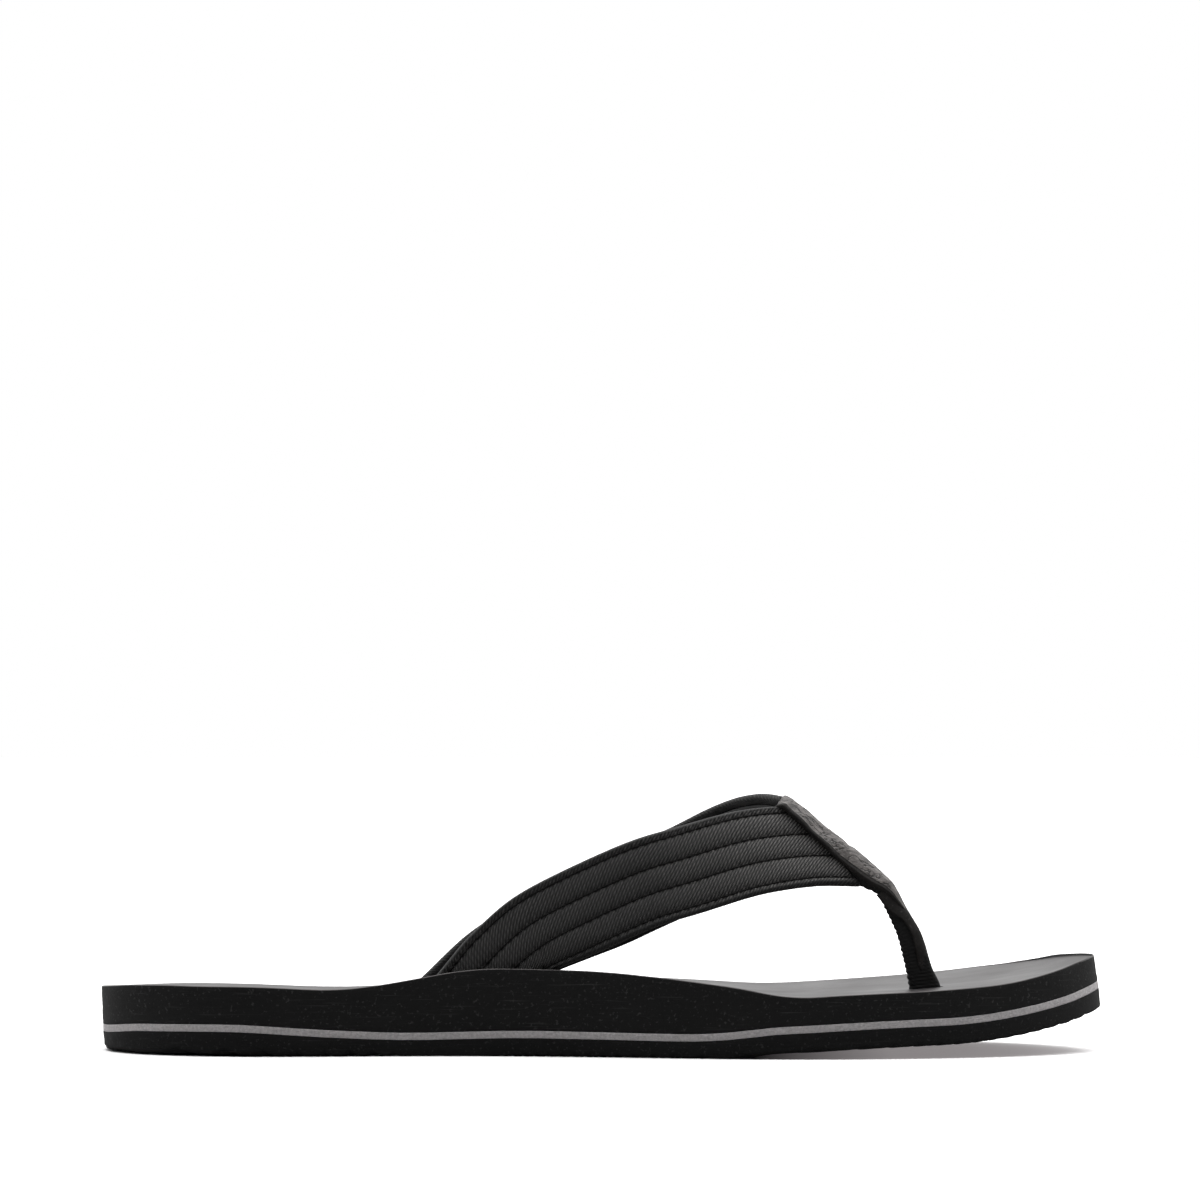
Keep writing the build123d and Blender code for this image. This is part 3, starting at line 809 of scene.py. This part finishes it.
def arm_shell(arm, name, material):
    rows, uvs = [], []
    around = 0.0
    for item in arm_profile():
        if item[0] == "quilt":
            w = item[1]
            start, end = arm.ends(w)
            s = np.linspace(start, end, ARM_STEPS)
            n = quilt(w, s, arm)
            v = w
        elif item[0] == "edge":
            side, angle = item[1], math.radians(item[2])
            w = side * (HALF - HEM + HEM * math.cos(angle))
            start, end = arm.ends(w)
            s = np.linspace(start, end, ARM_STEPS)
            n = np.full(ARM_STEPS, 0.13 + 1.39 * math.sin(angle))
            v = side * (HALF - HEM + 1.3 * (math.pi / 2 - angle))
        else:
            w, height = item[1], item[2]
            start, end = arm.ends(w)
            s = np.linspace(start, end, ARM_STEPS)
            n = np.full(ARM_STEPS, height)
            v = w + 30
        rows.append(arm.sample(s, np.full(ARM_STEPS, w), n))
        uvs.append(np.column_stack([s, np.full(ARM_STEPS, v)]))
    verts, uv = tube_from_rows(rows, uvs)
    return make_object(name, verts, close_tube(ARM_STEPS, len(rows)), material, uv, merge=False)


def arm_lining(arm, name, material):
    rows, uvs = [], []
    half = HALF - 2.9
    section = [(w, -0.92) for w in np.linspace(-half, half, 12)]
    section += [(half * math.cos(a) if abs(math.cos(a)) > 0.93 else half * math.cos(a),
                 -0.95 - 0.85 * min(1.0, 3.2 * abs(math.sin(a))) ** 0.7) for a in np.linspace(0, math.pi, 34)]
    for w, height in section:
        start, end = arm.ends(w)
        s = np.linspace(start, end, ARM_STEPS)
        n = height + 0.05 * value_noise(s, np.full_like(s, w), 9.0)
        rows.append(arm.sample(s, np.full(ARM_STEPS, w), n))
        uvs.append(np.column_stack([s, np.full(ARM_STEPS, w)]))
    verts, uv = tube_from_rows(rows, uvs)
    return make_object(name, verts, close_tube(ARM_STEPS, len(rows)), material, uv)


def arm_stitches(arm, name, material):
    """Four rows of lockstitch: each stitch lies on the cloth and dives in at both ends."""
    verts, faces = [], []
    sides, radius = 6, 0.27
    for across in ROWS:
        start, end = arm.ends(across)
        count = int((end - start) / (STITCH / 10))
        s = np.linspace(start + 0.5, end - 0.3, count)
        phase = (s / STITCH) % 1.0
        lift = quilt(across, s, arm) - 0.32 + 0.62 * np.sin(math.pi * phase) ** 0.4
        sway = across + 0.16 * (phase - 0.5)
        base = sum(len(v) for v in verts)
        rings = []
        for k in range(sides):
            a = 2 * math.pi * k / sides
            rings.append(arm.sample(s, sway + radius * math.cos(a), lift + radius * math.sin(a)))
        points = np.stack(rings, 1)
        points = np.stack([at(points[..., 0]), points[..., 1] * MM, points[..., 2] * MM], -1)
        verts.append(points.reshape(-1, 3))
        faces += [tuple(base + i for i in face) for face in close_tube(count, sides)]
    return make_object(name, np.vstack(verts), faces, material, merge=False)


def build_arm(name, arm, materials):
    shell = arm_shell(arm, f"{name}_strap_cloth", materials["strap"])
    lining = arm_lining(arm, f"{name}_strap_lining_cloth", materials["lining"])
    thread = arm_stitches(arm, f"{name}_strap_thread", materials["thread"])
    low, high = arm.row(0, 0)[np.searchsorted(arm.centre[:, 2], (13, 34))]
    for obj, nodes, slot in ((shell, (f"{name}_strap_shell", f"{name}_strap_padding"), "strap_weave"),
                             (lining, (f"{name}_strap_lining",), "lining_black"),
                             (thread, (f"{name}_strap_stitching",), "thread")):
        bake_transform(obj)
        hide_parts(*nodes)
    return shell


# ---------------------------------------------------------------- cover and toe post

COVER_HUB = 8.0           # the cover's section is drawn round a point this far below the ridge
COVER_THICK = 1.9
COVER_STEPS = 90


def mesh_tree(objects):
    verts, faces = [], []
    for obj in objects:
        base = len(verts)
        verts += [v.co.copy() for v in obj.data.vertices]
        faces += [[base + i for i in p.vertices] for p in obj.data.polygons]
    return BVHTree.FromPolygons(verts, faces)


def soften(field, passes, axis):
    for _ in range(passes):
        padded = np.pad(field, [(1, 1) if k == axis else (0, 0) for k in (0, 1)], mode="edge")
        low = np.take(padded, range(field.shape[axis]), axis)
        high = np.take(padded, range(2, field.shape[axis] + 2), axis)
        field = 0.25 * low + 0.5 * field + 0.25 * high
    return field


def build_cover(shells, material, rim_and_shade_material):
    """Leather drawn over the point of the V, lying on the arms and narrowing down to the post. Its rim and the last
    columns of its outer face take a darker leather: a dark cut edge, and painted shade along the rim.
    """
    line, length = spline(RIDGE_LINE, COVER_STEPS)
    ridge, reach = line[:, :3], np.radians(line[:, 3])
    along = unit(np.gradient(ridge, axis=0))
    side = unit(np.cross([0, 0, 1], along))
    up = np.cross(along, side)
    hub = ridge - up * COVER_HUB
    tree = mesh_tree(shells)
    q = np.linspace(-1, 1, 49)
    radius = np.zeros((COVER_STEPS, len(q)))
    for i in range(COVER_STEPS):
        for j, a in enumerate(q * reach[i]):
            direction = math.sin(a) * side[i] + math.cos(a) * up[i]
            centre = Vector((at(hub[i, 0]), hub[i, 1] * MM, hub[i, 2] * MM))
            ray = Vector(direction)
            hit = tree.ray_cast(centre + ray * 0.022, -ray, 0.022)[0]
            slim = ((abs(math.sin(a)) / 3.6) ** 3 + (math.cos(a) / COVER_HUB) ** 3) ** (-1 / 3)
            lying = (hit - centre).length / MM + COVER_THICK + 0.2 if hit is not None else 0
            radius[i, j] = max(slim, lying)
    middle_column = len(q) // 2
    gap = np.abs(q) < 0.16
    for i in range(COVER_STEPS):
        radius[i, gap] = np.interp(q[gap], q[~gap], radius[i, ~gap])
    radius = soften(soften(radius, 8, 1), 14, 0)
    angle = reach[:, None] * q[None, :]
    radius += (COVER_HUB - radius[:, middle_column])[:, None] * np.exp(-(angle / 0.5) ** 2)
    s = np.linspace(0, length, COVER_STEPS)[:, None]
    panel = smooth((s - 3.5) / 1.2) * smooth((21 - s) / 1.5) * smooth((0.62 - np.abs(np.abs(q) - 0.62)) / 0.1 - 2.9)
    creases = 0.10 * value_noise(s * 0.35 + 0 * q, 9 * q + 0 * s, 1.5) + 0.05 * value_noise(s * 0.8 + 0 * q, 9 * q + 0 * s, 1.1)
    notch = 0.45 * np.exp(-((ridge[:, 0][:, None] - 216.7) / 0.8) ** 2) * np.exp(-(angle / 0.35) ** 2)
    calm = 1 - 0.8 * smooth((np.abs(q) - 0.7) / 0.25)
    outer = radius + creases * calm - 0.3 * panel - notch
    edge = np.minimum(1, np.minimum(s, length - s) / 1.0)
    thin = np.sqrt(1 - (1 - edge) ** 2) * 0.9 + 0.1
    thin = thin * (1 - 0.6 * smooth((s - length + 12) / 10))
    rows = []

    def add(r, a):
        r, a = np.broadcast_to(r, COVER_STEPS), np.broadcast_to(a, COVER_STEPS)
        rows.append(hub + (np.sin(a)[:, None] * side + np.cos(a)[:, None] * up) * r[:, None])

    half = 0.5 * COVER_THICK * thin[:, 0]
    for j in range(len(q)):
        centre = outer[:, j] - 0.5 * COVER_THICK
        add(centre + half, angle[:, j])
    rim = [(0.97, 0.3), (0.75, 0.48), (0.0, 0.55), (-0.75, 0.48), (-0.97, 0.3)]
    for lift, out in rim:
        centre = outer[:, -1] - 0.5 * COVER_THICK
        add(centre + half * lift, angle[:, -1] + half * out / centre)
    for j in reversed(range(len(q))):
        centre = outer[:, j] - 0.5 * COVER_THICK
        add(centre - half, angle[:, j])
    for lift, out in rim[::-1]:
        centre = outer[:, 0] - 0.5 * COVER_THICK
        add(centre + half * lift, angle[:, 0] - half * out / centre)
    verts, uv = tube_from_rows(rows, [np.zeros((COVER_STEPS, 2))] * len(rows))
    obj = make_object("apex_cover_leather", verts, close_tube(COVER_STEPS, len(rows)), material, merge=False)
    obj.data.materials.append(rim_and_shade_material)
    # dark cut edge and painted shade: the rim and the outer face's last columns get the darker leather
    faces_around = len(rows)
    for face in obj.data.polygons[:(COVER_STEPS - 1) * faces_around]:
        column = face.index % faces_around
        on_face = 3 <= column < len(q) - 4
        face.material_index = 0 if on_face else 1
    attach(obj, "strap")
    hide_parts("apex_cover")
    return obj


RIDGE_LINE = [(197.4, -8.6, 73.7, 44), (200.8, -9.6, 72.8, 44), (204.7, -10.8, 69.9, 44), (209.6, -12.4, 65.5, 42),
              (215.5, -14.4, 61.1, 41), (221.4, -16.4, 56.3, 39), (226.2, -17.7, 52.1, 35), (229.9, -18, 48.6, 29),
              (232.5, -18, 44.3, 21), (234.4, -18, 40.9, 12)]


def post_section(front, back, half, corner):
    """Rounded rectangle from back to front in X, with a shallow fold line along the rear edge."""
    count = 44
    points = []
    for k in range(count):
        a = 2 * math.pi * k / count
        c, s = math.cos(a), math.sin(a)
        power = 2 / corner
        u = math.copysign(abs(c) ** power, c)
        v = math.copysign(abs(s) ** power, s)
        points.append((u, v))
    u, v = np.array(points).T
    x = 0.5 * (front + back)[:, None] + 0.5 * (front - back)[:, None] * u
    groove = 0.45 * np.exp(-(v / 0.22) ** 2) * (u < 0)
    return x + groove, v * half


def post_lines(count):
    """Front and rear of the post at matching heights, from under the cover down into the sole."""
    front, _ = spline(FACING, count)
    back, _ = spline(POST_BACK, count)
    return front, back


def build_post(materials):
    count = 130
    front, back = post_lines(count)
    t = np.linspace(0, 1, count)
    s = t * 40
    selvage = 0.32 * np.abs(np.sin(math.pi * s / 1.9)) + 0.08 * value_noise(s, 0 * s, 0.8)
    flare = 0.12 * np.exp(-((front[:, 1] - 20.5) / 2.2) ** 2)
    reveal = smooth((front[:, 1] - 27) / 6)
    front_x = front[:, 0] - 0.9 * reveal + flare
    back_x = back[:, 0] - selvage - flare
    u_x, v_y = post_section(front_x, back_x, POST_THICK / 2, 5.0)
    z_front, z_back = front[:, 1], back[:, 1]
    blend = (u_x - back_x[:, None]) / (front_x - back_x)[:, None]
    z = z_back[:, None] * (1 - blend) + z_front[:, None] * blend
    weave = 0.05 * np.sin(2 * math.pi * s / 1.1)[:, None] * (np.abs(v_y) > 1.9)
    y = POST_Y + v_y * (1 + weave / 2)
    rows = [np.column_stack([u_x[:, k], y[:, k], z[:, k]]) for k in range(u_x.shape[1])]
    uvs = [np.column_stack([s, np.full(count, 0.5 * k)]) for k in range(u_x.shape[1])]
    verts, uv = tube_from_rows(rows, uvs)
    webbing = make_object("toe_post_cloth", verts, close_tube(count, len(rows)), materials["webbing"], uv)

    line, _ = spline([(x, z, d) for (x, z), d in zip(FACING, (5.0, 4.7, 4.4, 2.9, 2.8, 3.3, 3.6, 3.6, 3.6))], 160)
    line = line[(line[:, 1] > 25) & (line[:, 1] < 48.5)]
    line[:, 0] -= 0.9 * smooth((line[:, 1] - 40.5) / 3)
    count = len(line)
    tangent = unit(np.gradient(line[:, :2], axis=0))
    inward = np.column_stack([tangent[:, 1], -tangent[:, 0]])
    fade = smooth((line[:, 1] - 25) / 7)
    rows, uvs = [], []
    section = [(math.sin(a), 1 - math.cos(a)) for a in np.linspace(-math.pi / 2, math.pi / 2, 21)]
    half = 2.3 + 0.55 * fade + 0.05
    for v, u in section:
        depth = line[:, 2] * u
        flat = np.abs(v) ** 0.55 * math.copysign(1, v)
        ripple = 0.07 * value_noise(line[:, 1], 3 * v + 0 * line[:, 1], 2.0) * fade
        rows.append(np.column_stack([line[:, 0] + inward[:, 0] * depth * 1.0, POST_Y + flat * (half + ripple),
                                     line[:, 1] + inward[:, 1] * depth]))
        uvs.append(np.column_stack([line[:, 1], np.full(count, 4 * v)]))
    for v in np.linspace(0.75, -0.75, 5):
        depth = line[:, 2] * 1.0 - 0.5
        rows.append(np.column_stack([line[:, 0] + inward[:, 0] * depth, np.full(count, POST_Y + v * 2.4),
                                     line[:, 1] + inward[:, 1] * depth]))
        uvs.append(np.column_stack([line[:, 1], np.full(count, 4 * v)]))
    verts, uv = tube_from_rows(rows, uvs)
    facing = make_object("toe_post_leather", verts, close_tube(count, len(rows)), materials["tail"], uv)
    for obj, node, slot in ((webbing, "toe_post_webbing", "webbing_black"),
                            (facing, "toe_post_facing", "cover_brown")):
        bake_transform(obj)
        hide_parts(node)
    return webbing, facing


GUSSET_LOW = [(205, 56.5), (211.5, 52.8), (218, 49.2), (220.5, 48.0), (224.6, 46.2), (227.6, 44.2)]
GUSSET_HIGH = [(204, 66.0), (210.5, 60.5), (217, 55.5), (220, 52.8), (224.6, 49.0), (228.6, 45.2)]


def build_gusset(material):
    """End of the post webbing, sewn between the two arms under the cover."""
    count = 60
    low, _ = spline(GUSSET_LOW, count)
    high, _ = spline(GUSSET_HIGH, count)
    rows, uvs = [], []
    s = np.linspace(0, 19, count)
    around = 32
    for k in range(around):
        a = 2 * math.pi * k / around
        u = math.copysign(abs(math.cos(a)) ** 0.45, math.cos(a))
        v = math.copysign(abs(math.sin(a)) ** 0.45, math.sin(a))
        t = 0.5 + 0.5 * u
        point = low * (1 - t) + high * t
        selvage = 0.3 * np.abs(np.sin(math.pi * s / 1.9)) * (u < -0.8)
        y = ridge_y(point[:, 0]) + v * 2.5
        rows.append(np.column_stack([point[:, 0], y, point[:, 1] - selvage]))
        uvs.append(np.column_stack([s, np.full(count, 0.5 * k)]))
    verts, uv = tube_from_rows(rows, uvs)
    obj = make_object("apex_webbing_cloth", verts, close_tube(count, around), material, uv)
    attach(obj, "strap")
    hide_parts("apex_webbing_end")
    return obj


# ---------------------------------------------------------------- assembly

POST_Y = -18.0

materials = {
    "outsole": foam_rubber("outsole_rubber", (0.0042, 0.0042, 0.0043), (0.0072, 0.0072, 0.0073), 0.4, 0.2),
    "wall": foam_rubber("footbed_foam", (0.0045, 0.0045, 0.0046), (0.0078, 0.0077, 0.0077), 0.5, 0.35),
    "stripe": stripe_foam(),
    "footbed": footbed_skin(),
    # the strap's third colour is its painted highlight towards the point of the V
    "strap": woven("strap_twill", (0.003, 0.003, 0.003), (0.040, 0.038, 0.037), (0.105, 0.100, 0.096),
                   0.8 * MM, 0.0003, 0.07),
    "webbing": woven("post_webbing", (0.002, 0.002, 0.002), (0.005, 0.005, 0.005), (0.006, 0.006, 0.006),
                     0.9 * MM, 0.00012, 0.01),
    "lining": lining_cloth(),
    "thread": sewing_thread(),
    "cover": wrinkled_leather(),
    "tail": foam_rubber("post_tail_leather", (0.010, 0.0095, 0.009), (0.024, 0.022, 0.021), 0.3, 0.1),
    "plastic": foam_rubber("moulded_plastic", (0.010, 0.010, 0.010), (0.016, 0.016, 0.016), 0.2, 0.3),
}

arms = {"medial": Arm(MEDIAL_ARM, -1), "lateral": Arm(LATERAL_ARM, 1)}
build_sole(arms.values(), materials)
shells = [build_arm(name, arm, materials) for name, arm in arms.items()]
# the post's darker leather doubles as the cover's dark edge and painted rim shade
build_cover(shells, materials["cover"], materials["tail"])
build_gusset(materials["webbing"])
build_post(materials)
for node, material in (("medial_strap_anchor", "webbing"), ("lateral_strap_anchor", "webbing"),
                       ("toe_post_anchor", "plastic"), ("outsole_plug", "outsole")):
    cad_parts[node].data.materials.clear()
    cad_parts[node].data.materials.append(materials[material])


# ---------------------------------------------------------------- studio

CAMERA = (0.0, -1.8, 0.11)
VIEW_WIDTH = 0.3491       # width seen at the middle of the object
VIEW_CENTRE = 0.1307      # height at the middle of the picture
SENSOR = 36.0
DOME = 1.15               # brightness of the white surroundings behind, above and beside the object
OVERHEAD = 4.5            # extra brightness straight above
BESIDE = 0.35             # extra brightness past the heel and past the toe


def build_studio():
    camera_data = bpy.data.cameras.new("camera")
    camera_data.sensor_width = SENSOR
    camera_data.lens = SENSOR * -CAMERA[1] / VIEW_WIDTH
    camera_data.shift_y = (VIEW_CENTRE - CAMERA[2]) / VIEW_WIDTH
    camera = bpy.data.objects.new("camera", camera_data)
    camera.location = CAMERA
    camera.rotation_euler = (math.radians(90), 0, 0)
    bpy.context.scene.collection.objects.link(camera)
    bpy.context.scene.camera = camera

    floor = make_object("floor", [(-6, -6, 0), (6, -6, 0), (6, 6, 0), (-6, 6, 0)], [(0, 1, 2, 3)], studio_floor())

    world = bpy.data.worlds.new("studio")
    bpy.context.scene.world = world
    world.use_nodes = True
    tree = world.node_tree
    background = tree.nodes["Background"]
    direction = tree.nodes.new("ShaderNodeTexCoord")
    split = tree.nodes.new("ShaderNodeSeparateXYZ")
    tree.links.new(direction.outputs["Generated"], split.inputs[0])
    ramp = tree.nodes.new("ShaderNodeMapRange")
    ramp.interpolation_type = "SMOOTHSTEP"
    for name, value in (("From Min", -0.5), ("From Max", 0.15), ("To Min", 0.0), ("To Max", DOME)):
        ramp.inputs[name].default_value = value
    tree.links.new(split.outputs["Y"], ramp.inputs["Value"])
    top = tree.nodes.new("ShaderNodeMapRange")
    top.interpolation_type = "SMOOTHSTEP"
    for name, value in (("From Min", 0.7), ("From Max", 1.0), ("To Min", 0.0), ("To Max", OVERHEAD)):
        top.inputs[name].default_value = value
    tree.links.new(split.outputs["Z"], top.inputs["Value"])
    ends = tree.nodes.new("ShaderNodeMath")
    ends.operation = "MULTIPLY"
    tree.links.new(split.outputs["X"], ends.inputs[0])
    tree.links.new(split.outputs["X"], ends.inputs[1])
    beside = tree.nodes.new("ShaderNodeMath")
    beside.operation = "MULTIPLY_ADD"
    tree.links.new(ends.outputs[0], beside.inputs[0])
    beside.inputs[1].default_value = BESIDE
    tree.links.new(ramp.outputs["Result"], beside.inputs[2])
    total = tree.nodes.new("ShaderNodeMath")
    tree.links.new(beside.outputs[0], total.inputs[0])
    tree.links.new(top.outputs["Result"], total.inputs[1])
    path = tree.nodes.new("ShaderNodeLightPath")
    pick = tree.nodes.new("ShaderNodeMix")
    tree.links.new(path.outputs["Is Camera Ray"], pick.inputs[0])
    tree.links.new(total.outputs[0], pick.inputs[2])
    pick.inputs[3].default_value = 1.0
    tree.links.new(pick.outputs[0], background.inputs["Strength"])
    background.inputs["Color"].default_value = (1, 1, 1, 1)

    bpy.context.scene.view_settings.view_transform = "Standard"


build_studio()
